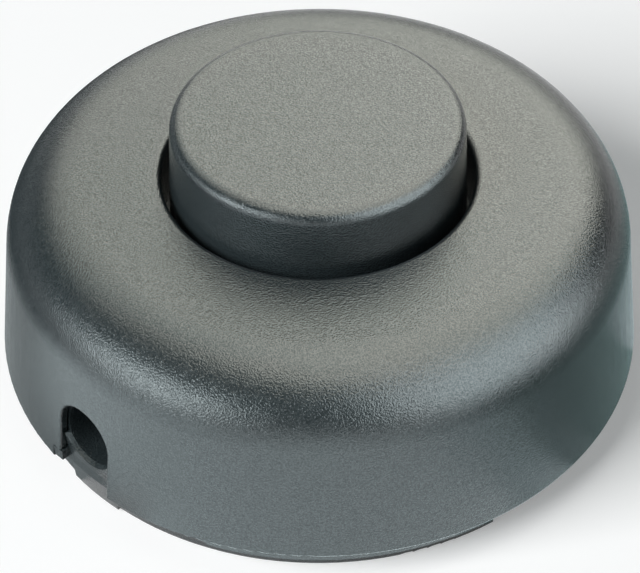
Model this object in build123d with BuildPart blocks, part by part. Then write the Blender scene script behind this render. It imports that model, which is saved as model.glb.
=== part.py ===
from build123d import *

import os
from math import cos, radians, sin, tan

os.makedirs("parts", exist_ok=True)

# Foot-operated cord switch: a round moulded housing on a base plate, with a push button that turns a
# ratchet rotor one step at each press. Millimetres. The origin is on the floor under the middle of the
# base, +Z is up and the cord runs along X, in at -X and out at +X.

# Housing
housing_radius = 30.0
housing_height = 18.5
housing_wall = 1.6
housing_draft = 6.5
top_slope = 2.0
shoulder_radius = 7.0
hole_edge_radius = 0.5
rim_edge_radius = 0.25
collar_wall = 1.6
collar_depth = 4.0
guide_rib_width = 2.2
guide_angle = 45.0
slide_clearance = 0.3

# Base plate
rim_clearance_height = 3.1
foot_height = 1.1
foot_width = 2.6
foot_gap_width = 11.4
foot_edge_radius = 0.3
rim_overhang = 1.8
spigot_height = 2.2
spigot_wall = 1.5
fit_clearance = 0.2

# Cord entries
arch_radius = 3.1
arch_height = 5.1
entry_edge_radius = 0.25
entry_wall = 0.8
cord_hole_radius = 2.95
cord_hole_height = 4.85
funnel_length = 0.6
funnel_angle = 30.0
guide_half_width = 4.8
guide_rise = 0.9
guide_thickness = 2.0
tongue_setback = 0.85
tongue_drop = 1.4
tongue_foot_reach = 0.3
key_width = 1.1
key_height = 1.5
key_lift = 0.3
key_setback = 0.4
key_clearance = 0.1
clamp_setback = 4.8
clamp_post_spacing = 12.8
clamp_post_radius = 2.2
clamp_lift = 0.4
clamp_width = 4.4
clamp_thickness = 2.2
clamp_jaw_height = 0.5
clamp_jaw_width = 4.0
clamp_jaw_length = 2.0

# Push button
button_radius = 13.4
button_gap = 0.8
button_rise = 5.9
button_draft = 2.5
button_edge_radius = 1.1
button_wall = 1.5
button_top = 1.8
button_flange_overlap = 1.1
button_flange_thickness = 1.3
button_socket_wall = 1.2
button_socket_depth = 1.6
press_travel = 4.0

# Ratchet
tooth_count = 8
tooth_rise = 4.5
tooth_inner_radius = 4.5
tooth_outer_radius = 7.5
tooth_root_depth = 0.5
tooth_sections = 5
tooth_shoulder = 0.3
drive_gap = 0.3
drive_lead_angle = 2.5
drive_width_angle = 20.0
drive_sections = 3
drive_body_gap = 0.4
rotor_cam_overhang = 1.2
rotor_cam_thickness = 0.8
rotor_cam_corner = 1.5
rotor_hub_radius = 3.0
rotor_hub_rise = 2.4
rotor_running_gap = 0.2
rotor_spigot_radius = 2.1
pin_radius = 1.2
pin_fit = 0.05
pin_boss_radius = 2.0
pin_depth = 1.2
pin_rise = 0.6

# Mechanism cover and springs
cover_thickness = 1.6
cover_rim = 0.6
cover_locator_wall = 0.8
cover_locator_height = 0.8
cover_ear_radius = 2.4
cover_post_radius = 2.2
spring_wire = 1.0
spring_turns = 5.5
spring_sides = 8
spring_steps_per_turn = 16
detent_thickness = 0.4
detent_gap = 0.2
detent_room = 1.0

# Contacts and terminals
strip_thickness = 0.8
strip_width = 2.8
rivet_inset = 0.8
rivet_radius = 1.5
rivet_height = 1.3
rivet_edge_radius = 0.4
contact_gap = 0.1
star_thickness = 0.8
star_overhang = 0.1
star_arm_width = 3.2
star_hub_radius = 4.4
terminal_gap = 0.6
terminal_y = 7.5
terminal_size = 5.4
terminal_height = 5.0
terminal_edge_radius = 0.2
terminal_bore_radius = 1.4
terminal_bore_height = 2.4
neutral_strip_gap = 0.3
neutral_strip_width = 2.0

# Screws
screw_clearance = 0.05
head_clearance = 0.3
small_screw_radius = 1.0
small_head_radius = 1.9
small_head_height = 1.2
small_screw_length = 5.0
housing_screw_gap = 1.0
housing_screw_radius = 1.45
housing_screw_length = 11.0
housing_head_radius = 2.7
housing_head_height = 1.6
housing_head_sink = 0.2
housing_boss_radius = 3.2
housing_boss_height = 3.0
drive_slot_width = 0.6
drive_slot_depth = 0.6
cross_slot_length = 4.0

# Heights above the floor
rim_z = rim_clearance_height
floor_z = rim_clearance_height
top_z = rim_z + housing_height
collar_z = top_z - housing_wall - collar_depth
button_top_z = top_z + button_rise
button_inner_z = button_top_z - button_top
flange_top_z = collar_z - slide_clearance
flange_bottom_z = flange_top_z - button_flange_thickness
pressed_z = flange_bottom_z - press_travel
arch_z = rim_z + arch_height
guide_top_z = arch_z + arch_radius + guide_rise
cord_z = rim_z + cord_hole_height
tongue_top_z = cord_z - tongue_drop
clamp_z = cord_z + cord_hole_radius + clamp_lift
boss_z = floor_z + housing_boss_height
strip_top_z = floor_z + strip_thickness
rivet_top_z = strip_top_z + rivet_height
star_z = rivet_top_z + contact_gap
cam_z = star_z + star_thickness
cam_top_z = cam_z + rotor_cam_thickness
cover_z = cam_top_z + rotor_running_gap
cover_top_z = cover_z + cover_thickness
root_z = cover_top_z + rotor_running_gap
tip_z = root_z + tooth_rise
drive_body_z = tip_z + press_travel + drive_body_gap
hub_top_z = root_z + rotor_hub_rise
terminal_top_z = strip_top_z + terminal_height
head_seat_z = foot_height + housing_head_sink + housing_head_height

# Radii and places
hole_radius = button_radius + button_gap
collar_radius = hole_radius + collar_wall
flange_radius = hole_radius + button_flange_overlap
base_radius = housing_radius - rim_overhang
foot_inner_radius = base_radius - foot_width
tooth_pitch = 360.0 / tooth_count
rise_per_degree = tooth_rise / tooth_pitch
apex_z = top_z + hole_radius * tan(radians(top_slope))
cavity_apex_z = apex_z - housing_wall / cos(radians(top_slope))
cavity_radius = housing_radius - housing_wall / cos(radians(housing_draft))
spigot_radius = cavity_radius - spigot_height * tan(radians(housing_draft)) - fit_clearance
guide_inner_x = base_radius - guide_thickness
tongue_radius = housing_radius - tongue_setback
tongue_half_width = arch_radius - fit_clearance
pocket_half_width = guide_half_width + fit_clearance
key_outer_x = housing_radius - key_setback
neck_radius = tooth_outer_radius + tooth_shoulder
socket_radius = neck_radius + fit_clearance
spring_radius = socket_radius + button_socket_wall + fit_clearance + spring_wire / 2
spring_outer_radius = spring_radius + spring_wire / 2
spring_inner_radius = spring_radius - spring_wire / 2
cover_radius = spring_outer_radius + cover_rim
rotor_cam_radius = neck_radius + rotor_cam_overhang
rivet_x = neck_radius - rivet_inset
star_reach = rivet_x + rivet_radius + star_overhang
detent_reach = rotor_cam_radius + detent_gap
cover_post_y = detent_reach + detent_thickness + detent_room + cover_post_radius
clamp_x = base_radius - clamp_setback
clamp_y = clamp_post_spacing / 2
terminal_x = clamp_x - clamp_post_radius - terminal_gap - terminal_size / 2
terminal_screw_length = terminal_height - terminal_bore_height
neutral_strip_y = cover_post_y + cover_post_radius + neutral_strip_gap + neutral_strip_width / 2
housing_screw_y = neutral_strip_y + neutral_strip_width / 2 + housing_screw_gap + housing_boss_radius
sides = (-1, 1)


def shell_corner(radius: float, apex: float) -> tuple:
    """Where a drafted wall that starts at the rim meets a sloping top."""
    wall_run = tan(radians(housing_draft))
    top_run = tan(radians(top_slope))
    corner = (radius - (apex - rim_z) * wall_run) / (1 - wall_run * top_run)
    return corner, apex - corner * top_run


def button_radius_at(height: float) -> float:
    """Radius of the button's drafted side at a height above the floor."""
    return button_radius - (height - top_z) * tan(radians(button_draft))


def radius_out(edge: Edge) -> float:
    """Distance of an edge's middle from the Z axis."""
    middle = edge @ 0.5
    return Vector(middle.X, middle.Y, 0).length


def radial_plane(angle: float) -> Plane:
    """Upright plane through the Z axis, with its own x pointing out in the given direction."""
    turn = radians(angle)
    return Plane(origin=(0, 0, 0), x_dir=(cos(turn), sin(turn), 0), z_dir=(sin(turn), -cos(turn), 0))


def pocket_radius_at(height: float) -> float:
    """Radius of the housing's thinned inner wall at a height above the floor."""
    draft = radians(housing_draft)
    return housing_radius - entry_wall / cos(draft) - (height - rim_z) * tan(draft)


def entry_blocks(foot: tuple, head: tuple, half_width: float) -> Part:
    """Blocks at the two cord entries with a conical front. Foot and head are a radius and a height."""
    with BuildPart() as blocks:
        with BuildSketch(Plane.XZ):
            with BuildLine():
                Polyline((0, foot[1]), foot, head, (0, head[1]), close=True)
            make_face()
        revolve(axis=Axis.Z)
        with BuildSketch(Plane.XY.offset(foot[1])):
            Rectangle(2 * housing_radius, 2 * half_width)
            Rectangle(2 * guide_inner_x, 2 * half_width, mode=Mode.SUBTRACT)
        extrude(amount=head[1] - foot[1], mode=Mode.INTERSECT)
    return blocks.part


# Hollow of the housing, with the collar, bosses and guide ribs left standing in it
with BuildPart() as cavity:
    with BuildSketch(Plane.XZ):
        with BuildLine():
            corner = shell_corner(cavity_radius, cavity_apex_z)
            Polyline((0, rim_z), (cavity_radius, rim_z), corner, (0, cavity_apex_z), close=True)
        make_face()
        corner_vertex = vertices().sort_by_distance(corner)[0]
        fillet(corner_vertex, radius=shoulder_radius - housing_wall)
    revolve(axis=Axis.Z)
    with BuildSketch(Plane.XY.offset(collar_z)):
        Circle(collar_radius)
    extrude(amount=housing_height, mode=Mode.SUBTRACT)
    with BuildSketch(Plane.XY.offset(pressed_z)):
        with PolarLocations((hole_radius + fit_clearance + collar_radius) / 2, 2, start_angle=guide_angle):
            Rectangle(collar_wall - fit_clearance, guide_rib_width)
    extrude(amount=collar_z - pressed_z, mode=Mode.SUBTRACT)
    with BuildSketch(Plane.XY.offset(boss_z)):
        with Locations((0, housing_screw_y), (0, -housing_screw_y)):
            Circle(housing_boss_radius)
    extrude(amount=housing_height, mode=Mode.SUBTRACT)

# Housing: drafted wall, round shoulder, sloping top, and an arch for the cord at each end
with BuildPart() as housing:
    with BuildSketch(Plane.XZ):
        with BuildLine():
            corner = shell_corner(housing_radius, apex_z)
            Polyline((0, rim_z), (housing_radius, rim_z), corner, (0, apex_z), close=True)
        make_face()
        corner_vertex = vertices().sort_by_distance(corner)[0]
        fillet(corner_vertex, radius=shoulder_radius)
        fillet(vertices().sort_by_distance((housing_radius, rim_z))[0], radius=rim_edge_radius)
    revolve(axis=Axis.Z)
    add(cavity.part, mode=Mode.SUBTRACT)
    with BuildSketch(Plane.XY.offset(collar_z)):
        Circle(hole_radius)
    extrude(amount=housing_height, mode=Mode.SUBTRACT)
    hole_edge = edges().filter_by(GeomType.CIRCLE).sort_by(Axis.Z)[-1]
    fillet(hole_edge, radius=hole_edge_radius)
    with BuildSketch(Plane.YZ):
        with Locations((0, arch_z)):
            Circle(arch_radius)
        with Locations((0, (rim_z + arch_z) / 2)):
            Rectangle(2 * arch_radius, arch_z - rim_z)
    extrude(amount=housing_radius, both=True, mode=Mode.SUBTRACT)
    bent_edges = edges(Select.LAST).filter_by(GeomType.LINE, reverse=True)
    cut_edges = bent_edges.filter_by(GeomType.CIRCLE, reverse=True)
    arch_edges = cut_edges.filter_by(lambda edge: radius_out(edge) > cavity_radius)
    fillet(arch_edges, radius=entry_edge_radius)
    for side in sides:
        with BuildSketch(Plane.YZ):
            notch_width = key_width + key_clearance - fit_clearance
            with Locations((-side * (arch_radius + notch_width / 2), rim_z + key_height / 2)):
                Rectangle(notch_width, key_height)
        extrude(amount=side * housing_radius, mode=Mode.SUBTRACT)
    pocket_top_z = guide_top_z + fit_clearance
    pocket_foot, pocket_head = ((pocket_radius_at(z), z) for z in (rim_z, pocket_top_z))
    add(entry_blocks(pocket_foot, pocket_head, pocket_half_width), mode=Mode.SUBTRACT)
    with Locations((0, housing_screw_y, boss_z), (0, -housing_screw_y, boss_z)):
        pilot_depth = head_seat_z + housing_screw_length - boss_z + head_clearance
        pilot_radius = housing_screw_radius + screw_clearance
        Cylinder(pilot_radius, 2 * pilot_depth, mode=Mode.SUBTRACT)
housing.part.label = "housing"
export_step(housing.part, "parts/housing.step")

# Base plate: floor, foot arcs, spigot, cord guides with their tongues in the arches, and the posts inside
with BuildPart() as base_plate:
    with BuildSketch(Plane.XY.offset(foot_height)):
        Circle(base_radius)
    extrude(amount=floor_z - foot_height)
    with BuildSketch():
        Circle(base_radius)
        Circle(foot_inner_radius, mode=Mode.SUBTRACT)
        Rectangle(foot_gap_width, 2 * base_radius, mode=Mode.SUBTRACT)
    extrude(amount=foot_height)
    floor_edges = edges().group_by(Axis.Z)[0]
    foot_edges = floor_edges.filter_by(lambda edge: radius_out(edge) > base_radius - fit_clearance)
    fillet(foot_edges, radius=foot_edge_radius)
    with BuildSketch(Plane.XY.offset(floor_z)):
        Circle(spigot_radius)
        Circle(spigot_radius - spigot_wall, mode=Mode.SUBTRACT)
    extrude(amount=spigot_height)
    guide_foot, guide_head = ((pocket_radius_at(z) - fit_clearance, z) for z in (floor_z, guide_top_z))
    add(entry_blocks(guide_foot, guide_head, guide_half_width))
    tongue_foot = (base_radius + tongue_foot_reach, foot_edge_radius)
    add(entry_blocks(tongue_foot, (tongue_radius, tongue_top_z), tongue_half_width))
    with BuildSketch(Plane.XY.offset(floor_z)):
        with Locations((-clamp_x, 0), (clamp_x, 0)):
            Rectangle(clamp_jaw_length, clamp_post_spacing)
    extrude(amount=cord_z - floor_z)
    with BuildSketch(Plane.XY.offset(floor_z)):
        with GridLocations(2 * clamp_x, clamp_post_spacing, 2, 2):
            Circle(clamp_post_radius)
    extrude(amount=clamp_z - floor_z)
    with BuildSketch(Plane.YZ):
        with Locations((0, cord_z)):
            Circle(cord_hole_radius)
    extrude(amount=housing_radius, both=True, mode=Mode.SUBTRACT)
    for side in sides:
        funnel_x = side * (tongue_radius - funnel_length)
        with BuildSketch(Plane(origin=(funnel_x, 0, cord_z), x_dir=(0, 1, 0), z_dir=(side, 0, 0))):
            Circle(cord_hole_radius)
        extrude(amount=funnel_length + tongue_setback, taper=-funnel_angle, mode=Mode.SUBTRACT)
    with BuildSketch(Plane.XY.offset(rim_z + key_lift)):
        for side in sides:
            key_y = tongue_half_width + key_width / 2
            with Locations((side * (guide_inner_x + key_outer_x) / 2, -side * key_y)):
                Rectangle(key_outer_x - guide_inner_x, key_width)
    extrude(amount=key_height - key_lift - key_clearance)
    with BuildSketch(Plane.XY.offset(floor_z)):
        with Locations((0, cover_post_y), (0, -cover_post_y)):
            Circle(cover_post_radius)
    extrude(amount=cover_z - floor_z)
    with BuildSketch(Plane.XY.offset(floor_z)):
        with Locations((0, housing_screw_y), (0, -housing_screw_y)):
            Circle(housing_boss_radius)
    extrude(amount=boss_z - floor_z)
    with BuildSketch(Plane.XY.offset(floor_z)):
        Circle(pin_boss_radius)
    extrude(amount=rivet_top_z - floor_z)
    with BuildSketch(Plane.XY.offset(floor_z - pin_depth)):
        Circle(pin_radius + pin_fit)
    extrude(amount=rivet_top_z, mode=Mode.SUBTRACT)
    with BuildSketch(Plane.XY.offset(clamp_z)):
        with GridLocations(2 * clamp_x, clamp_post_spacing, 2, 2):
            Circle(small_screw_radius + screw_clearance)
    extrude(amount=clamp_thickness - small_screw_length - head_clearance, mode=Mode.SUBTRACT)
    with BuildSketch(Plane.XY.offset(cover_z)):
        with Locations((0, cover_post_y), (0, -cover_post_y)):
            Circle(small_screw_radius + screw_clearance)
    extrude(amount=cover_thickness - small_screw_length - head_clearance, mode=Mode.SUBTRACT)
    with BuildSketch(Plane.XY.offset(foot_height)):
        with Locations((0, housing_screw_y), (0, -housing_screw_y)):
            Circle(housing_screw_radius + screw_clearance)
    extrude(amount=boss_z, mode=Mode.SUBTRACT)
    with BuildSketch(Plane.XY.offset(head_seat_z)):
        with Locations((0, housing_screw_y), (0, -housing_screw_y)):
            Circle(housing_head_radius + head_clearance)
    extrude(amount=-head_seat_z, mode=Mode.SUBTRACT)
base_plate.part.label = "base_plate"
export_step(base_plate.part, "parts/base_plate.step")

# Push button: drafted cap with a rounded edge, and a flange that the collar keeps in
with BuildPart() as push_button:
    with BuildSketch(Plane.XZ):
        with BuildLine():
            top_edge = (button_radius_at(button_top_z), button_top_z)
            Polyline(
                (0, flange_bottom_z),
                (flange_radius, flange_bottom_z),
                (flange_radius, flange_top_z),
                (button_radius_at(flange_top_z), flange_top_z),
                top_edge,
                (0, button_top_z),
                close=True,
            )
        make_face()
        fillet(vertices().sort_by_distance(top_edge)[0], radius=button_edge_radius)
    revolve(axis=Axis.Z)
    with BuildSketch(Plane.XZ):
        with BuildLine():
            Polyline(
                (0, flange_bottom_z),
                (button_radius_at(flange_bottom_z) - button_wall, flange_bottom_z),
                (button_radius_at(button_inner_z) - button_wall, button_inner_z),
                (0, button_inner_z),
                close=True,
            )
        make_face()
    revolve(axis=Axis.Z, mode=Mode.SUBTRACT)
    with BuildSketch(Plane.XY.offset(button_inner_z)):
        Circle(socket_radius + button_socket_wall)
        Circle(socket_radius, mode=Mode.SUBTRACT)
    extrude(amount=-button_socket_depth)
    with BuildSketch(Plane.XY.offset(flange_bottom_z)):
        with PolarLocations(flange_radius, 2, start_angle=guide_angle):
            Rectangle(2 * button_flange_overlap, guide_rib_width + 2 * slide_clearance)
    extrude(amount=button_flange_thickness, mode=Mode.SUBTRACT)
push_button.part.label = "push_button"
export_step(push_button.part, "parts/push_button.step")

# One driving tooth of the plunger, with its face on the helix that the rotor's teeth follow
with BuildPart() as drive_tooth:
    for section in range(drive_sections):
        angle = drive_width_angle * section / (drive_sections - 1) - drive_lead_angle
        face_z = tip_z + drive_gap + rise_per_degree * angle
        with BuildSketch(radial_plane(angle)):
            with BuildLine():
                Polyline(
                    (tooth_inner_radius, face_z),
                    (tooth_outer_radius, face_z),
                    (tooth_outer_radius, drive_body_z + tooth_root_depth),
                    (tooth_inner_radius, drive_body_z + tooth_root_depth),
                    close=True,
                )
            make_face()
    loft(ruled=True)

# Ratchet plunger: a sleeve in the button's socket with the driving teeth at its foot
with BuildPart() as ratchet_plunger:
    with BuildSketch(Plane.XY.offset(drive_body_z)):
        Circle(neck_radius)
        Circle(tooth_inner_radius - tooth_shoulder, mode=Mode.SUBTRACT)
    extrude(amount=button_inner_z - drive_body_z)
    with PolarLocations(0, tooth_count):
        add(drive_tooth.part)
ratchet_plunger.part.label = "ratchet_plunger"
export_step(ratchet_plunger.part, "parts/ratchet_plunger.step")

# One saw tooth of the rotor, rising along a helix from its root to its tip
with BuildPart() as rotor_tooth:
    for section in range(tooth_sections):
        angle = tooth_pitch * section / (tooth_sections - 1)
        with BuildSketch(radial_plane(angle)):
            with BuildLine():
                Polyline(
                    (tooth_inner_radius, root_z - tooth_root_depth),
                    (tooth_outer_radius, root_z - tooth_root_depth),
                    (tooth_outer_radius, root_z + rise_per_degree * angle),
                    (tooth_inner_radius, root_z + rise_per_degree * angle),
                    close=True,
                )
            make_face()
    loft(ruled=True)

# Ratchet rotor: eight-sided indexing cam, neck through the cover, crown of saw teeth and hub
with BuildPart() as ratchet_rotor:
    with BuildSketch(Plane.XY.offset(star_z)):
        Circle(rotor_spigot_radius)
    extrude(amount=star_thickness)
    with BuildSketch(Plane.XY.offset(cam_z)):
        RegularPolygon(rotor_cam_radius, tooth_count)
        fillet(vertices(), radius=rotor_cam_corner)
    extrude(amount=rotor_cam_thickness)
    with BuildSketch(Plane.XY.offset(cam_top_z)):
        Circle(neck_radius)
    extrude(amount=root_z - cam_top_z)
    with BuildSketch(Plane.XY.offset(root_z)):
        Circle(rotor_hub_radius)
    extrude(amount=rotor_hub_rise)
    with PolarLocations(0, tooth_count):
        add(rotor_tooth.part)
    with BuildSketch(Plane.XY.offset(star_z)):
        Circle(pin_radius + pin_fit)
    extrude(amount=hub_top_z - star_z, mode=Mode.SUBTRACT)
ratchet_rotor.part.label = "ratchet_rotor"
export_step(ratchet_rotor.part, "parts/ratchet_rotor.step")

# Pin that the rotor turns on, held in the base plate's boss
with BuildPart() as rotor_pin:
    with BuildSketch(Plane.XY.offset(floor_z - pin_depth)):
        Circle(pin_radius)
    extrude(amount=hub_top_z + pin_rise - floor_z + pin_depth)
rotor_pin.part.label = "rotor_pin"
export_step(rotor_pin.part, "parts/rotor_pin.step")

# Four-armed contact under the rotor, half a step away from the rivets at rest
with BuildPart() as contact_star:
    with BuildSketch(Plane.XY.offset(star_z)):
        Circle(star_hub_radius)
        for arm in range(tooth_count // 4):
            with Locations(Rotation(0, 0, tooth_pitch * (2 * arm + 1))):
                SlotCenterPoint((0, 0), (star_reach - star_arm_width / 2, 0), star_arm_width)
        Circle(rotor_spigot_radius + screw_clearance, mode=Mode.SUBTRACT)
    extrude(amount=star_thickness)
contact_star.part.label = "contact_star"
export_step(contact_star.part, "parts/contact_star.step")

# Mechanism cover: holds the rotor down and seats the return spring
with BuildPart() as mechanism_cover:
    with BuildSketch(Plane.XY.offset(cover_z)):
        Circle(cover_radius)
        with Locations((0, cover_post_y), (0, -cover_post_y)):
            Circle(cover_ear_radius)
            Circle(small_screw_radius + screw_clearance, mode=Mode.SUBTRACT)
        Circle(neck_radius + rotor_running_gap, mode=Mode.SUBTRACT)
    extrude(amount=cover_thickness)
    with BuildSketch(Plane.XY.offset(cover_top_z)):
        Circle(spring_inner_radius - slide_clearance)
        Circle(spring_inner_radius - slide_clearance - cover_locator_wall, mode=Mode.SUBTRACT)
    extrude(amount=cover_locator_height)
mechanism_cover.part.label = "mechanism_cover"
export_step(mechanism_cover.part, "parts/mechanism_cover.step")

# Return spring between the cover and the button
with BuildPart() as return_spring:
    spring_height = button_inner_z - cover_top_z - spring_wire
    spring_steps = round(spring_turns * spring_steps_per_turn)
    with BuildLine(mode=Mode.PRIVATE) as coil:
        spring_start = (0, 0, cover_top_z + spring_wire / 2)
        Helix(spring_height / spring_turns, spring_height, spring_radius, center=spring_start)
    for step in range(spring_steps + 1):
        wire_at = coil.line @ (step / spring_steps)
        out = Vector(wire_at.X, wire_at.Y, 0)
        with BuildSketch(Plane(origin=wire_at, x_dir=out, z_dir=coil.line % (step / spring_steps))):
            RegularPolygon(spring_wire / 2, spring_sides)
    loft(ruled=True)
return_spring.part.label = "return_spring"
export_step(return_spring.part, "parts/return_spring.step")

# Detent spring: a strip bent round one cover post, bowed against the rotor's cam
with BuildPart() as detent_spring:
    detent_front = -detent_reach
    detent_half = cover_post_radius + detent_gap
    with BuildSketch(Plane.XY.offset(floor_z)):
        detent_back = -cover_post_y - cover_post_radius
        with Locations((0, (detent_front + detent_back) / 2)):
            Rectangle(2 * (detent_half + detent_thickness), detent_front - detent_back)
        with Locations((0, (detent_front - detent_thickness + detent_back) / 2)):
            Rectangle(2 * detent_half, detent_front - detent_thickness - detent_back, mode=Mode.SUBTRACT)
    extrude(amount=cam_top_z - floor_z)
detent_spring.part.label = "detent_spring"
export_step(detent_spring.part, "parts/detent_spring.step")

# Fixed contacts: L-shaped strips from the live terminals to the rivets under the contact star
for side, name in ((-1, "line_contact"), (1, "load_contact")):
    with BuildPart() as contact_strip:
        with BuildSketch(Plane.XY.offset(floor_z)):
            strip_inner_x = rivet_x - rivet_radius
            strip_outer_x = terminal_x + strip_width / 2
            with Locations((side * (strip_inner_x + strip_outer_x) / 2, 0)):
                Rectangle(strip_outer_x - strip_inner_x, strip_width)
            strip_end_y = terminal_y + terminal_size / 2
            with Locations((side * terminal_x, (strip_end_y - strip_width / 2) / 2)):
                Rectangle(strip_width, strip_end_y + strip_width / 2)
        extrude(amount=strip_thickness)
    contact_strip.part.label = name
    export_step(contact_strip.part, f"parts/{name}.step")

# Contact rivets
for side, name in ((-1, "line_rivet"), (1, "load_rivet")):
    with BuildPart() as rivet:
        with BuildSketch(Plane.XY.offset(strip_top_z)):
            with Locations((side * rivet_x, 0)):
                Circle(rivet_radius)
        extrude(amount=rivet_height)
        fillet(faces().sort_by(Axis.Z)[-1].edges(), radius=rivet_edge_radius)
    rivet.part.label = name
    export_step(rivet.part, f"parts/{name}.step")

# Neutral link: a strip that goes round the mechanism and joins the two neutral terminals
with BuildPart() as neutral_link:
    with BuildSketch(Plane.XY.offset(floor_z)):
        with Locations((0, -neutral_strip_y)):
            Rectangle(2 * terminal_x + strip_width, neutral_strip_width)
        leg_start_y = terminal_y - terminal_size / 2
        leg_end_y = neutral_strip_y + neutral_strip_width / 2
        with Locations(
            (-terminal_x, -(leg_start_y + leg_end_y) / 2),
            (terminal_x, -(leg_start_y + leg_end_y) / 2),
        ):
            Rectangle(strip_width, leg_end_y - leg_start_y)
    extrude(amount=strip_thickness)
neutral_link.part.label = "neutral_link"
export_step(neutral_link.part, "parts/neutral_link.step")

# Terminal blocks: a wire hole along the cord's direction and a clamping screw from above
terminals = (
    ("line_terminal", -terminal_x, terminal_y),
    ("load_terminal", terminal_x, terminal_y),
    ("neutral_terminal_in", -terminal_x, -terminal_y),
    ("neutral_terminal_out", terminal_x, -terminal_y),
)
for name, x, y in terminals:
    with BuildPart() as terminal:
        with BuildSketch(Plane.XY.offset(strip_top_z)):
            with Locations((x, y)):
                RectangleRounded(terminal_size, terminal_size, terminal_edge_radius)
        extrude(amount=terminal_height)
        with BuildSketch(Plane.YZ.offset(x)):
            with Locations((y, strip_top_z + terminal_bore_height)):
                Circle(terminal_bore_radius)
        extrude(amount=terminal_size, both=True, mode=Mode.SUBTRACT)
        with BuildSketch(Plane.XY.offset(terminal_top_z)):
            with Locations((x, y)):
                Circle(small_screw_radius + screw_clearance)
        extrude(amount=terminal_bore_height - terminal_height, mode=Mode.SUBTRACT)
    terminal.part.label = name
    export_step(terminal.part, f"parts/{name}.step")

# Cheese-head screw with its seat at the origin, used for the cover and the cord clamps
with BuildPart() as small_screw:
    with BuildSketch():
        Circle(small_head_radius)
    extrude(amount=small_head_height)
    with BuildSketch():
        Circle(small_screw_radius)
    extrude(amount=-small_screw_length)
    with BuildSketch(Plane.XY.offset(small_head_height)):
        Rectangle(2 * small_head_radius, drive_slot_width)
    extrude(amount=-drive_slot_depth, mode=Mode.SUBTRACT)

with BuildPart() as cover_screws:
    with Locations((0, cover_post_y, cover_top_z), (0, -cover_post_y, cover_top_z)):
        add(small_screw.part)
cover_screws.part.label = "cover_screws"
export_step(cover_screws.part, "parts/cover_screws.step")

with BuildPart() as clamp_screws:
    with Locations(Plane.XY.offset(clamp_z + clamp_thickness)):
        with GridLocations(2 * clamp_x, clamp_post_spacing, 2, 2):
            add(small_screw.part)
clamp_screws.part.label = "clamp_screws"
export_step(clamp_screws.part, "parts/clamp_screws.step")

# Terminal screws: the same head on a short shank that stops on the wire
with BuildPart() as terminal_screws:
    with BuildSketch(Plane.XY.offset(terminal_top_z)):
        with GridLocations(2 * terminal_x, 2 * terminal_y, 2, 2):
            Circle(small_head_radius)
    extrude(amount=small_head_height)
    with BuildSketch(Plane.XY.offset(terminal_top_z)):
        with GridLocations(2 * terminal_x, 2 * terminal_y, 2, 2):
            Circle(small_screw_radius)
    extrude(amount=-terminal_screw_length)
    with BuildSketch(Plane.XY.offset(terminal_top_z + small_head_height)):
        with GridLocations(2 * terminal_x, 2 * terminal_y, 2, 2):
            Rectangle(2 * small_head_radius, drive_slot_width)
    extrude(amount=-drive_slot_depth, mode=Mode.SUBTRACT)
terminal_screws.part.label = "terminal_screws"
export_step(terminal_screws.part, "parts/terminal_screws.step")

# Cord clamps: bars across the cord, each with a jaw on its underside
for side, name in ((-1, "cord_clamp_in"), (1, "cord_clamp_out")):
    with BuildPart() as cord_clamp:
        with BuildSketch(Plane.XY.offset(clamp_z)):
            with Locations((side * clamp_x, 0)):
                SlotCenterToCenter(clamp_post_spacing, clamp_width, rotation=90)
            with Locations((side * clamp_x, clamp_y), (side * clamp_x, -clamp_y)):
                Circle(small_screw_radius + screw_clearance, mode=Mode.SUBTRACT)
        extrude(amount=clamp_thickness)
        with BuildSketch(Plane.XY.offset(clamp_z)):
            with Locations((side * clamp_x, 0)):
                Rectangle(clamp_jaw_length, clamp_jaw_width)
        extrude(amount=-clamp_jaw_height)
    cord_clamp.part.label = name
    export_step(cord_clamp.part, f"parts/{name}.step")

# Housing screws, driven from below into the housing's bosses
with BuildPart() as housing_screws:
    with BuildSketch(Plane.XY.offset(head_seat_z)):
        with Locations((0, housing_screw_y), (0, -housing_screw_y)):
            Circle(housing_head_radius)
    extrude(amount=-housing_head_height)
    with BuildSketch(Plane.XY.offset(head_seat_z)):
        with Locations((0, housing_screw_y), (0, -housing_screw_y)):
            Circle(housing_screw_radius)
    extrude(amount=housing_screw_length)
    with BuildSketch(Plane.XY.offset(head_seat_z - housing_head_height)):
        with Locations((0, housing_screw_y), (0, -housing_screw_y)):
            Rectangle(cross_slot_length, drive_slot_width)
            Rectangle(drive_slot_width, cross_slot_length)
    extrude(amount=drive_slot_depth, mode=Mode.SUBTRACT)
housing_screws.part.label = "housing_screws"
export_step(housing_screws.part, "parts/housing_screws.step")
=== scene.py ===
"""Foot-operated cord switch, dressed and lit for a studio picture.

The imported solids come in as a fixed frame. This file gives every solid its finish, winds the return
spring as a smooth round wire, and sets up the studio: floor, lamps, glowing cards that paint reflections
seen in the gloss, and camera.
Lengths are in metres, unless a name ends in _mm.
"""
from __future__ import annotations

import logging
import math
from dataclasses import dataclass
from enum import Enum

import bmesh
import bpy
from mathutils import Matrix, Quaternion, Vector

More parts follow.
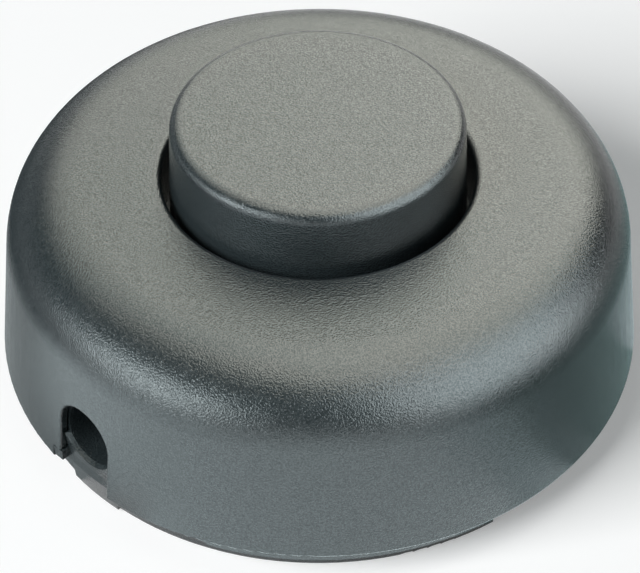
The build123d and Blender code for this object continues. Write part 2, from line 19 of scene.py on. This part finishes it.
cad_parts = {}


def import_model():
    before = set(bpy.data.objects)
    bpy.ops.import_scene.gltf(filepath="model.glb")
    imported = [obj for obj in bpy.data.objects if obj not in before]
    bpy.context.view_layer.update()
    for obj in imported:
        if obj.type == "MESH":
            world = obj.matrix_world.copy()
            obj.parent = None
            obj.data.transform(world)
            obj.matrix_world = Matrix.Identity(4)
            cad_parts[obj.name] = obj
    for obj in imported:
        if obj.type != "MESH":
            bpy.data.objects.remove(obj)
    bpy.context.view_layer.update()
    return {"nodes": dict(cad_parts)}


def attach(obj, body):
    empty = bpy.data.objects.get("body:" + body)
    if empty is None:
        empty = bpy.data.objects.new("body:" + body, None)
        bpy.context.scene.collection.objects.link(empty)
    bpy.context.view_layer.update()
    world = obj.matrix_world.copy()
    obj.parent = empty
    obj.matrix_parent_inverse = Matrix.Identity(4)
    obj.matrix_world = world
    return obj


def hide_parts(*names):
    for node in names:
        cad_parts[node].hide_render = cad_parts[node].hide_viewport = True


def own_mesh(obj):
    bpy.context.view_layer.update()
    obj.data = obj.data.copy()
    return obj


LOG = logging.getLogger("cord_switch")
MM = 0.001

# The Mix node has its two colours and its result at these socket numbers.
MIX_FIRST, MIX_SECOND, MIX_RESULT = 6, 7, 2
# Most values of a noise pattern lie between these, so a finish spreads its change over them.
GRAIN_LOW, GRAIN_HIGH = 0.35, 0.65
PATCH_LOW, PATCH_HIGH = 0.35, 0.7
GLOSS_LOW, GLOSS_HIGH = 0.3, 0.7
# A plastic's plain specular level, which leaves its reflection to the index of refraction.
PLAIN_SPECULAR = 0.5


class LampRole(Enum):
    """What a lamp is hung for."""

    KEY = "lights the set and throws the shadow"
    REFLECTION = "is seen in the gloss only"


def linear(colour: str) -> tuple[float, float, float, float]:
    """Turn an sRGB hex colour into linear values by the sRGB curve.

    Args:
        colour: six hex digits after a hash sign.

    Returns:
        Red, green, blue and an alpha of 1.
    """
    parts = [int(colour[i : i + 2], 16) / 255 for i in (1, 3, 5)]
    red, green, blue = (p / 12.92 if p <= 0.04045 else ((p + 0.055) / 1.055) ** 2.4 for p in parts)
    return red, green, blue, 1.0


def add_node(
    tree: bpy.types.NodeTree,
    kind: str,
    inputs: dict[str | int, object] | None = None,
    **settings: object,
) -> bpy.types.Node:
    """Add one shader node with its settings, socket values and links.

    Args:
        tree: the material's or the world's node tree.
        kind: the node's Blender type name.
        inputs: socket names or numbers, each with a value or with an output socket to link from.
        settings: the node's own properties.

    Returns:
        The new node.
    """
    node = tree.nodes.new(kind)
    for name, value in settings.items():
        setattr(node, name, value)
    for name, value in (inputs or {}).items():
        if isinstance(value, bpy.types.NodeSocket):
            tree.links.new(value, node.inputs[name])
        else:
            node.inputs[name].default_value = value
    return node


def empty_material(name: str) -> tuple[bpy.types.Material, bpy.types.NodeTree]:
    """Make a material with no nodes in it.

    Args:
        name: the material's name.

    Returns:
        The material and its node tree.
    """
    material = bpy.data.materials.new(name)
    material.use_nodes = True
    material.node_tree.nodes.clear()
    return material, material.node_tree


def per_metre(size_mm: float) -> float:
    """Scale of a pattern in metre space whose features are size_mm across."""
    return 1 / (size_mm * MM)


@dataclass(frozen=True)
class MouldedPlastic:
    """An injection-moulded plastic with the grain that the mould's spark-eroded wall leaves on it."""

    name: str
    colour: str
    fleck_colour: str
    roughness: float
    roughness_spread: float
    ior: float
    grain_mm: float
    grain_height_mm: float
    mottle_mm: float
    subsurface: float = 0.0
    subsurface_mm: float = 1.0
    pit_shade: float = 0.0

    def build(self) -> bpy.types.Material:
        """Make the material.

        Returns:
            A material with flecked colour, uneven gloss and a fine raised grain.
        """
        material, tree = empty_material(self.name)
        place = add_node(tree, "ShaderNodeTexCoord").outputs["Object"]
        grain = add_node(
            tree,
            "ShaderNodeTexNoise",
            {"Vector": place, "Scale": per_metre(self.grain_mm), "Detail": 1.5, "Roughness": 0.55},
        )
        mottle = add_node(
            tree,
            "ShaderNodeTexNoise",
            {"Vector": place, "Scale": per_metre(self.mottle_mm), "Detail": 3.0, "Roughness": 0.6},
        )
        fleck = add_node(
            tree,
            "ShaderNodeMapRange",
            {"Value": grain.outputs["Fac"], "From Min": GRAIN_LOW, "From Max": GRAIN_HIGH},
        )
        tint = add_node(
            tree,
            "ShaderNodeMix",
            {
                "Factor": fleck.outputs["Result"],
                MIX_FIRST: linear(self.colour),
                MIX_SECOND: linear(self.fleck_colour),
            },
            data_type="RGBA",
        )
        gloss = add_node(
            tree,
            "ShaderNodeMapRange",
            {
                "Value": mottle.outputs["Fac"],
                "From Min": GLOSS_LOW,
                "From Max": GLOSS_HIGH,
                "To Min": self.roughness - self.roughness_spread,
                "To Max": self.roughness + self.roughness_spread,
            },
        )
        relief = add_node(
            tree,
            "ShaderNodeBump",
            {"Height": grain.outputs["Fac"], "Strength": 1.0, "Distance": self.grain_height_mm * MM},
        )
        skin = add_node(
            tree,
            "ShaderNodeBsdfPrincipled",
            {
                "Base Color": tint.outputs[MIX_RESULT],
                "Roughness": gloss.outputs["Result"],
                "Normal": relief.outputs["Normal"],
                "IOR": self.ior,
                "Subsurface Weight": self.subsurface,
                "Subsurface Scale": self.subsurface_mm * MM,
            },
        )
        if self.pit_shade:
            # The pits of a coarse grain shade themselves, so they shine less than the peaks.
            shine = add_node(
                tree,
                "ShaderNodeMapRange",
                {
                    "Value": grain.outputs["Fac"],
                    "From Min": GRAIN_LOW,
                    "From Max": GRAIN_HIGH,
                    "To Min": PLAIN_SPECULAR - self.pit_shade,
                    "To Max": PLAIN_SPECULAR + self.pit_shade,
                },
            )
            tree.links.new(shine.outputs["Result"], skin.inputs["Specular IOR Level"])
        add_node(tree, "ShaderNodeOutputMaterial", {"Surface": skin.outputs["BSDF"]})
        return material


@dataclass(frozen=True)
class WorkedMetal:
    """A bare or plated metal whose rolling, drawing or tumbling has left fine lines and dull patches."""

    name: str
    colour: str
    dull_colour: str
    roughness: float
    roughness_spread: float
    line_mm: float
    line_height_mm: float
    patch_mm: float
    stretch: tuple[float, float, float] = (1.0, 1.0, 1.0)

    def build(self) -> bpy.types.Material:
        """Make the material.

        Returns:
            A metal with patchy colour and gloss and fine working lines.
        """
        material, tree = empty_material(self.name)
        place = add_node(tree, "ShaderNodeTexCoord").outputs["Object"]
        drawn = add_node(tree, "ShaderNodeMapping", {"Vector": place, "Scale": self.stretch})
        lines = add_node(
            tree,
            "ShaderNodeTexNoise",
            {"Vector": drawn.outputs["Vector"], "Scale": per_metre(self.line_mm), "Detail": 2.0},
        )
        patches = add_node(
            tree,
            "ShaderNodeTexNoise",
            {"Vector": place, "Scale": per_metre(self.patch_mm), "Detail": 4.0},
        )
        dull = add_node(
            tree,
            "ShaderNodeMapRange",
            {"Value": patches.outputs["Fac"], "From Min": PATCH_LOW, "From Max": PATCH_HIGH},
        )
        tint = add_node(
            tree,
            "ShaderNodeMix",
            {
                "Factor": dull.outputs["Result"],
                MIX_FIRST: linear(self.colour),
                MIX_SECOND: linear(self.dull_colour),
            },
            data_type="RGBA",
        )
        gloss = add_node(
            tree,
            "ShaderNodeMapRange",
            {
                "Value": lines.outputs["Fac"],
                "From Min": GLOSS_LOW,
                "From Max": GLOSS_HIGH,
                "To Min": self.roughness - self.roughness_spread,
                "To Max": self.roughness + self.roughness_spread,
            },
        )
        relief = add_node(
            tree,
            "ShaderNodeBump",
            {"Height": lines.outputs["Fac"], "Strength": 1.0, "Distance": self.line_height_mm * MM},
        )
        skin = add_node(
            tree,
            "ShaderNodeBsdfPrincipled",
            {
                "Base Color": tint.outputs[MIX_RESULT],
                "Roughness": gloss.outputs["Result"],
                "Normal": relief.outputs["Normal"],
                "Metallic": 1.0,
            },
        )
        add_node(tree, "ShaderNodeOutputMaterial", {"Surface": skin.outputs["BSDF"]})
        return material


# Black ABS from a spark-eroded mould: a matt charcoal skin that glitters where lamps graze its grain.
# The real grit is about 0.1 mm across. It is drawn at 0.15 mm, so that it shows in the render.
BLACK_ABS = MouldedPlastic(
    name="black_abs_spark_eroded",
    colour="#1e2527",
    fleck_colour="#2a3133",
    roughness=0.17,
    roughness_spread=0.03,
    ior=1.60,
    grain_mm=0.15,
    grain_height_mm=0.056,
    mottle_mm=1.4,
    pit_shade=0.12,
)
# Natural nylon, moulded smooth: milky and slightly waxy, as the sliding ratchet pieces are.
NATURAL_NYLON = MouldedPlastic(
    name="natural_nylon_moulded",
    colour="#d9d4c4",
    fleck_colour="#e4e0d2",
    roughness=0.38,
    roughness_spread=0.05,
    ior=1.53,
    grain_mm=0.30,
    grain_height_mm=0.003,
    mottle_mm=2.0,
    subsurface=0.25,
)
# Grey filled polyester, moulded: flat, faintly speckled with its glass filling.
GREY_POLYESTER = MouldedPlastic(
    name="grey_filled_polyester_moulded",
    colour="#7d8182",
    fleck_colour="#8b8f90",
    roughness=0.55,
    roughness_spread=0.05,
    ior=1.55,
    grain_mm=0.25,
    grain_height_mm=0.006,
    mottle_mm=1.8,
)
# Rolled brass strip, stamped: warm and soft-bright, with rolling lines along it and a little tarnish.
STAMPED_BRASS = WorkedMetal(
    name="rolled_brass_stamped",
    colour="#d9b765",
    dull_colour="#b08d47",
    roughness=0.28,
    roughness_spread=0.08,
    line_mm=0.12,
    line_height_mm=0.002,
    patch_mm=2.5,
    stretch=(0.15, 1.0, 1.0),
)
# Silver alloy contact face, pressed: pale and satin, yellowed slightly in patches.
PRESSED_SILVER = WorkedMetal(
    name="silver_alloy_pressed",
    colour="#e3e1dc",
    dull_colour="#c9c4b8",
    roughness=0.32,
    roughness_spread=0.06,
    line_mm=0.15,
    line_height_mm=0.002,
    patch_mm=1.0,
)
# Zinc-plated steel, barrel plated: bluish grey with a cloudy, tumbled surface.
ZINC_PLATE = WorkedMetal(
    name="zinc_plated_steel_tumbled",
    colour="#c3c8cc",
    dull_colour="#9ba2a8",
    roughness=0.36,
    roughness_spread=0.08,
    line_mm=0.20,
    line_height_mm=0.003,
    patch_mm=1.2,
)
# Music wire, drawn: dark bright steel with lines along the wire.
DRAWN_STEEL = WorkedMetal(
    name="spring_steel_drawn",
    colour="#a9abad",
    dull_colour="#7f8285",
    roughness=0.25,
    roughness_spread=0.06,
    line_mm=0.10,
    line_height_mm=0.002,
    patch_mm=1.5,
    stretch=(1.0, 1.0, 0.3),
)


@dataclass
class DressedSolids:
    """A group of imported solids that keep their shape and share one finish."""

    finish: MouldedPlastic | WorkedMetal
    nodes: tuple[str, ...]

    def dress(self, solids: dict[str, bpy.types.Object]) -> bpy.types.Material:
        """Put the finish on every solid of the group.

        Args:
            solids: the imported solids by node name.

        Returns:
            The finish as a material.
        """
        material = self.finish.build()
        for name in self.nodes:
            solid = solids[name]
            if solid.material_slots:
                for slot in solid.material_slots:
                    slot.material = material
            else:
                solid.data.materials.append(material)
            LOG.info("%s dressed in %s", name, material.name)
        return material


@dataclass
class ReturnSpring:
    """The round-wire spring between the mechanism cover and the button, which the press squashes."""

    name: str = "return_spring_wire"
    seat: float = 8.7 * MM
    top: float = 25.7 * MM
    radius: float = 9.9 * MM
    wire: float = 1.0 * MM
    turns: float = 5.5
    travel: float = 4.0 * MM
    steps_per_turn: int = 40
    wire_sides: int = 14

    def centre(self, share: float) -> Vector:
        """Find a point on the wire's centre line.

        Args:
            share: how far along the wire the point lies, from 0 to 1.

        Returns:
            The point.
        """
        turn = 2 * math.pi * self.turns * share
        low, high = self.seat + self.wire / 2, self.top - self.wire / 2
        height = low + (high - low) * share
        return Vector((self.radius * math.cos(turn), self.radius * math.sin(turn), height))

    def wind(self) -> bpy.types.Object:
        """Wind the wire into a smooth helix.

        Returns:
            The spring as an object with closed ends.
        """
        mesh = bmesh.new()
        rings = []
        steps = round(self.turns * self.steps_per_turn)
        half_step = 0.5 / steps
        for step in range(steps + 1):
            share = step / steps
            middle = self.centre(share)
            ahead, behind = self.centre(min(share + half_step, 1)), self.centre(max(share - half_step, 0))
            along = (ahead - behind).normalized()
            out = Vector((middle.x, middle.y, 0)).normalized()
            side = along.cross(out)
            ring = []
            for k in range(self.wire_sides):
                angle = 2 * math.pi * k / self.wire_sides
                offset = out * math.cos(angle) + side * math.sin(angle)
                ring.append(mesh.verts.new(middle + offset * (self.wire / 2)))
            rings.append(ring)
        for ring, following in zip(rings, rings[1:]):
            for k in range(self.wire_sides):
                j = (k + 1) % self.wire_sides
                mesh.faces.new((ring[k], ring[j], following[j], following[k]))
        mesh.faces.new(rings[0])
        mesh.faces.new(rings[-1])
        bmesh.ops.recalc_face_normals(mesh, faces=mesh.faces)
        # The wire is round and shades smooth. Its two cut ends stay flat.
        for face in mesh.faces:
            face.smooth = len(face.verts) < self.wire_sides
        data = bpy.data.meshes.new(self.name)
        mesh.to_mesh(data)
        mesh.free()
        spring = bpy.data.objects.new(self.name, data)
        bpy.context.scene.collection.objects.link(spring)
        return spring

    def build(self, steel: bpy.types.Material) -> bpy.types.Object:
        """Wind, dress and mount the spring.

        Args:
            steel: the drawn steel material.

        Returns:
            The finished spring.
        """
        spring = self.wind()
        spring.data.materials.append(steel)
        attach(spring, "base")
        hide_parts("return_spring")
        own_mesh(spring)
        LOG.info("%s wound with %d faces", spring.name, len(spring.data.polygons))
        return spring


def from_view(view_azimuth: float, turn_deg: float, rise_deg: float = 0.0) -> Vector:
    """Find a direction away from the switch, told from the camera's view.

    Args:
        view_azimuth: the camera's azimuth in degrees.
        turn_deg: turn to the right from straight behind the switch, in degrees.
        rise_deg: rise from the floor, in degrees.

    Returns:
        The direction, one metre long.
    """
    turn = math.radians(90 + view_azimuth - turn_deg)
    rise = math.radians(rise_deg)
    return Vector((math.cos(turn) * math.cos(rise), math.sin(turn) * math.cos(rise), math.sin(rise)))


def lay_sheet(name: str, corners: list[Vector], material: bpy.types.Material) -> bpy.types.Object:
    """Lay a flat sheet with four corners.

    Args:
        name: the sheet's name.
        corners: its corners, in order round it.
        material: what it is made of.

    Returns:
        The sheet.
    """
    data = bpy.data.meshes.new(name)
    data.from_pydata(corners, [], [(0, 1, 2, 3)])
    data.materials.append(material)
    sheet = bpy.data.objects.new(name, data)
    bpy.context.scene.collection.objects.link(sheet)
    LOG.info("%s laid", name)
    return sheet


@dataclass(frozen=True)
class Softbox:
    """A rectangular lamp aimed at the switch, placed by its direction from the camera's view."""

    name: str
    role: LampRole
    turn_deg: float
    rise_deg: float
    distance: float
    width: float
    height: float
    radiance: float
    colour: str
    roll_deg: float = 0.0

    def build(self, view_azimuth: float, aim: Vector) -> bpy.types.Object:
        """Hang the lamp.

        Args:
            view_azimuth: the camera's azimuth in degrees.
            aim: the point that the lamp faces.

        Returns:
            The lamp.
        """
        lamp = bpy.data.lights.new(self.name, "AREA")
        lamp.shape = "RECTANGLE"
        lamp.size, lamp.size_y = self.width, self.height
        lamp.color = linear(self.colour)[:3]
        lamp.energy = self.radiance * math.pi * self.width * self.height
        out = from_view(view_azimuth, self.turn_deg, self.rise_deg)
        roll = Quaternion((0, 0, 1), math.radians(self.roll_deg))
        box = bpy.data.objects.new(self.name, lamp)
        box.location = aim + out * self.distance
        box.rotation_euler = (out.to_track_quat("Z", "Y") @ roll).to_euler()
        box.visible_camera = False
        box.visible_diffuse = self.role is LampRole.KEY
        box.visible_glossy = self.role is LampRole.REFLECTION
        bpy.context.scene.collection.objects.link(box)
        LOG.info("%s hung", self.name)
        return box


@dataclass(frozen=True)
class PaintedReflectionCard:
    """A glowing card that lies on the floor beside the switch and is seen in the gloss only: a painted
    reflection, which the side wall mirrors in place of the floor.
    """

    name: str
    turn_deg: float
    start_mm: float
    length_mm: float
    width_mm: float
    lift_mm: float
    radiance: float
    colour: str

    def build(self, view_azimuth: float) -> bpy.types.Object:
        """Lay the card.

        Args:
            view_azimuth: the camera's azimuth in degrees.

        Returns:
            The card.
        """
        # The card's glow is a painted reflection: it lights nothing and throws no shadow.
        material, tree = empty_material(self.name)
        glow = add_node(tree, "ShaderNodeEmission", {"Color": linear(self.colour), "Strength": self.radiance})
        add_node(tree, "ShaderNodeOutputMaterial", {"Surface": glow.outputs[0]})
        out = from_view(view_azimuth, self.turn_deg)
        side = Vector((-out.y, out.x, 0)) * (self.width_mm * MM / 2)
        near = out * (self.start_mm * MM) + Vector((0, 0, self.lift_mm * MM))
        far = near + out * (self.length_mm * MM)
        card = lay_sheet(self.name, [near - side, far - side, far + side, near + side], material)
        card.visible_camera = False
        card.visible_diffuse = False
        card.visible_transmission = False
        card.visible_shadow = False
        return card


# One lamp lights the set.
KEY_SOFTBOX = Softbox(
    name="key_softbox",
    role=LampRole.KEY,
    turn_deg=-120.0,
    rise_deg=33.0,
    distance=1.8,
    width=1.2,
    height=1.2,
    radiance=11.2,
    colour="#ffffff",
)
# The tops mirror this panel. It leans, because the shoulder darkens earlier on the right.
OVERHEAD_PANEL = Softbox(
    name="overhead_panel",
    role=LampRole.REFLECTION,
    turn_deg=32.0,
    rise_deg=63.5,
    distance=0.703,
    width=0.745,
    height=1.72,
    radiance=4.2,
    colour="#fdfff3",
    roll_deg=13.5,
)
# A dimmer panel beside it, which the left of the ring and of the shoulder mirrors.
OVERHEAD_WING = Softbox(
    name="overhead_wing",
    role=LampRole.REFLECTION,
    turn_deg=-31.3,
    rise_deg=38.0,
    distance=0.915,
    width=0.34,
    height=1.42,
    radiance=2.6,
    colour="#fdfff3",
    roll_deg=-46.0,
)
# The narrow highlight on the left and the front of the shoulder.
LEFT_PANEL = Softbox(
    name="left_panel",
    role=LampRole.REFLECTION,
    turn_deg=-124.0,
    rise_deg=15.0,
    distance=0.8,
    width=0.80,
    height=0.26,
    radiance=8.6,
    colour="#edfbfd",
)
# The broad highlight on the right of the shoulder.
RIGHT_PANEL = Softbox(
    name="right_panel",
    role=LampRole.REFLECTION,
    turn_deg=118.0,
    rise_deg=24.5,
    distance=0.8,
    width=1.2,
    height=0.98,
    radiance=5.2,
    colour="#edfbfd",
)
LAMPS = (KEY_SOFTBOX, OVERHEAD_PANEL, OVERHEAD_WING, LEFT_PANEL, RIGHT_PANEL)

# The side wall and the outline mirror these glowing cards, which paint the floor's reflection: bright in
# front and on the left, painted shade to the right and darker behind on the left. Each card's lift keeps it
# clear of the floor and of the cards under it.
CARDS = (
    PaintedReflectionCard(
        name="front_card",
        turn_deg=177.9,
        start_mm=26,
        length_mm=298,
        width_mm=41,
        lift_mm=0.6,
        radiance=2.1,
        colour="#edfcff",
    ),
    PaintedReflectionCard(
        name="left_card",
        turn_deg=-138.0,
        start_mm=34,
        length_mm=200,
        width_mm=60,
        lift_mm=0.5,
        radiance=2.0,
        colour="#edfcff",
    ),
    # Its dim glow paints a darker reflection of the floor on the left.
    PaintedReflectionCard(
        name="dim_glow_left_card",
        turn_deg=-85.0,
        start_mm=20,
        length_mm=130,
        width_mm=80,
        lift_mm=0.4,
        radiance=0.5,
        colour="#f0fafc",
    ),
    PaintedReflectionCard(
        name="front_right_card",
        turn_deg=148.0,
        start_mm=28,
        length_mm=180,
        width_mm=22,
        lift_mm=0.55,
        radiance=1.4,
        colour="#e6fbff",
    ),
    PaintedReflectionCard(
        name="side_right_card",
        turn_deg=132.0,
        start_mm=28,
        length_mm=180,
        width_mm=14,
        lift_mm=0.5,
        radiance=0.55,
        colour="#dffdff",
    ),
    PaintedReflectionCard(
        name="right_card",
        turn_deg=104.0,
        start_mm=20,
        length_mm=130,
        width_mm=90,
        lift_mm=0.4,
        radiance=0.41,
        colour="#daffff",
    ),
    PaintedReflectionCard(
        name="back_left_card",
        turn_deg=-56.0,
        start_mm=41,
        length_mm=260,
        width_mm=108,
        lift_mm=0.45,
        radiance=0.08,
        colour="#e6f6fa",
    ),
    PaintedReflectionCard(
        name="right_edge_card",
        turn_deg=80.0,
        start_mm=28,
        length_mm=9.5,
        width_mm=16,
        lift_mm=0.5,
        radiance=0.72,
        colour="#e6fbff",
    ),
)


@dataclass
class Studio:
    """White floor, soft lamps, cards painting glowing reflections and the camera, which was fitted to the
    picture's frame.
    """

    azimuth: float = -44.73
    elevation: float = 43.931
    distance: float = 214.168 * MM
    side_step: float = 0.101 * MM
    aim_height: float = 6.715 * MM
    roll: float = -0.374
    lens_mm: float = 127.22
    sensor_mm: float = 36.0
    clip_near: float = 0.01
    clip_far: float = 20.0
    floor_half: float = 4.0
    floor_colour: str = "#e6e6e6"
    floor_glow: float = 0.27
    room_colour: str = "#e2f2f4"
    room_level: float = 0.13
    lamps: tuple[Softbox, ...] = LAMPS
    cards: tuple[PaintedReflectionCard, ...] = CARDS

    def floor(self) -> bpy.types.Object:
        """Lay the floor, which glows to the camera and in reflections and keeps the shadow.

        Returns:
            The floor.
        """
        material, tree = empty_material("matt_white_paper_sweep")
        path = add_node(tree, "ShaderNodeLightPath")
        mirrored = add_node(
            tree,
            "ShaderNodeMath",
            {0: path.outputs["Is Camera Ray"], 1: path.outputs["Is Glossy Ray"]},
            operation="ADD",
        )
        seen = add_node(
            tree,
            "ShaderNodeMath",
            {0: mirrored.outputs[0], 1: path.outputs["Is Transmission Ray"]},
            operation="MAXIMUM",
        )
        level = add_node(
            tree, "ShaderNodeMath", {0: seen.outputs[0], 1: self.floor_glow}, operation="MULTIPLY"
        )
        glow = add_node(tree, "ShaderNodeEmission", {"Strength": level.outputs[0]})
        paper = add_node(tree, "ShaderNodeBsdfDiffuse", {"Color": linear(self.floor_colour)})
        both = add_node(tree, "ShaderNodeAddShader", {0: glow.outputs[0], 1: paper.outputs[0]})
        add_node(tree, "ShaderNodeOutputMaterial", {"Surface": both.outputs[0]})
        half = self.floor_half
        corners = [Vector((x * half, y * half, 0)) for x, y in ((-1, -1), (1, -1), (1, 1), (-1, 1))]
        return lay_sheet("floor", corners, material)

    def room(self) -> None:
        """Give the room round the lamps an even grey."""
        world = bpy.data.worlds.new("studio_room")
        world.use_nodes = True
        tree = world.node_tree
        tree.nodes.clear()
        room = add_node(
            tree, "ShaderNodeBackground", {"Color": linear(self.room_colour), "Strength": self.room_level}
        )
        add_node(tree, "ShaderNodeOutputWorld", {"Surface": room.outputs[0]})
        bpy.context.scene.world = world

    def camera(self) -> bpy.types.Object:
        """Stand the camera at the picture's viewing angle.

        Returns:
            The camera.
        """
        azimuth, elevation = math.radians(self.azimuth), math.radians(self.elevation)
        level = math.cos(elevation)
        back = Vector((math.sin(azimuth) * level, -math.cos(azimuth) * level, math.sin(elevation)))
        right = Vector((math.cos(azimuth), math.sin(azimuth), 0))
        up = back.cross(right)
        aim = right * self.side_step + Vector((0, 0, self.aim_height))
        turn = Matrix((right, up, back)).transposed().to_4x4()
        roll = Matrix.Rotation(math.radians(self.roll), 4, "Z")
        data = bpy.data.cameras.new("picture_camera")
        data.sensor_fit = "HORIZONTAL"
        data.sensor_width = self.sensor_mm
        data.lens = self.lens_mm
        data.clip_start, data.clip_end = self.clip_near, self.clip_far
        camera = bpy.data.objects.new("picture_camera", data)
        camera.matrix_world = Matrix.Translation(aim + back * self.distance) @ turn @ roll
        bpy.context.scene.collection.objects.link(camera)
        bpy.context.scene.camera = camera
        return camera

    def build(self) -> None:
        """Set up the whole studio."""
        bpy.context.scene.view_settings.view_transform = "Standard"
        self.floor()
        self.room()
        for lamp in self.lamps:
            lamp.build(self.azimuth, Vector((0, 0, self.aim_height)))
        for card in self.cards:
            card.build(self.azimuth)
        self.camera()
        LOG.info("studio ready")


ENCLOSURE = DressedSolids(BLACK_ABS, ("housing", "base_plate", "push_button"))
RATCHET = DressedSolids(NATURAL_NYLON, ("ratchet_plunger", "ratchet_rotor"))
COVER = DressedSolids(GREY_POLYESTER, ("mechanism_cover", "cord_clamp_in", "cord_clamp_out"))
CONDUCTORS = DressedSolids(
    STAMPED_BRASS,
    (
        "contact_star",
        "line_contact",
        "load_contact",
        "neutral_link",
        "line_terminal",
        "load_terminal",
        "neutral_terminal_in",
        "neutral_terminal_out",
    ),
)
CONTACT_FACES = DressedSolids(PRESSED_SILVER, ("line_rivet", "load_rivet"))
FASTENERS = DressedSolids(ZINC_PLATE, ("cover_screws", "clamp_screws", "terminal_screws", "housing_screws"))
SPRUNG_STEEL = DressedSolids(DRAWN_STEEL, ("rotor_pin", "detent_spring"))


def main() -> None:
    """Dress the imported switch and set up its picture."""
    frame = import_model()
    solids = frame["nodes"]
    for group in (ENCLOSURE, RATCHET, COVER, CONDUCTORS, CONTACT_FACES, FASTENERS):
        group.dress(solids)
    ReturnSpring().build(SPRUNG_STEEL.dress(solids))
    Studio().build()


if __name__ == "__main__":
    logging.basicConfig(level=logging.INFO)
    main()
